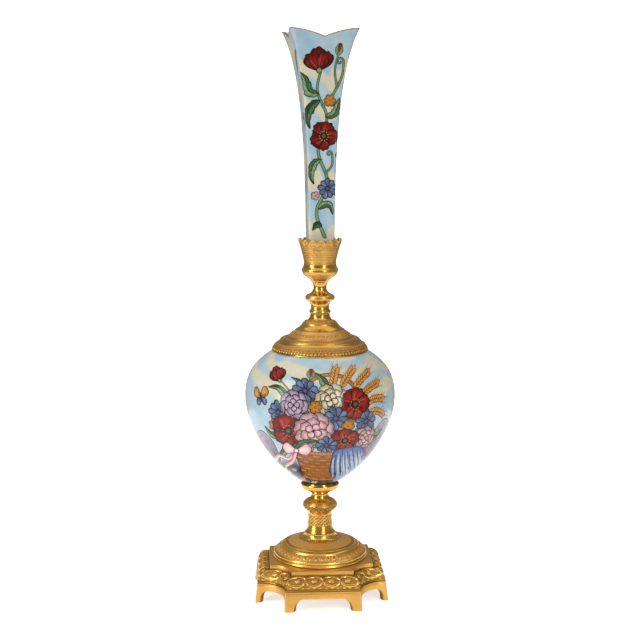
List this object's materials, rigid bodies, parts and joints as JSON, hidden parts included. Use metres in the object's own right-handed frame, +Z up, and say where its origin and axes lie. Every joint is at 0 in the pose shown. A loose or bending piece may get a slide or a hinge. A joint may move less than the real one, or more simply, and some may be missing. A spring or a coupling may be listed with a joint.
{
  "type": "bud vase",
  "caption": "Tall bud vase: a flared square porcelain tube in a toothed gilt socket above a painted porcelain ovoid, on a turned stem and a footed square plinth.",
  "frame": {"origin": "on the turned axis, at the surface that the feet stand on", "axes": "+Z up along the turned axis; the painted front faces -Y; +X to the viewer's right"},
  "size_m": [0.107, 0.107, 0.4],
  "materials": {
    "gilt_bronze": "gilt bronze, satin grounds and burnished mouldings",
    "painted_porcelain": "glazed porcelain, painted in enamels"
  },
  "bodies": {
    "root": {"plinth": "gilt_bronze", "foot_dome": "gilt_bronze", "stem": "gilt_bronze", "body_cup": "gilt_bronze", "body": "painted_porcelain", "shoulder_cap": "gilt_bronze", "neck": "gilt_bronze", "socket_cup": "gilt_bronze", "tube": "painted_porcelain"}
  },
  "joints": []
}
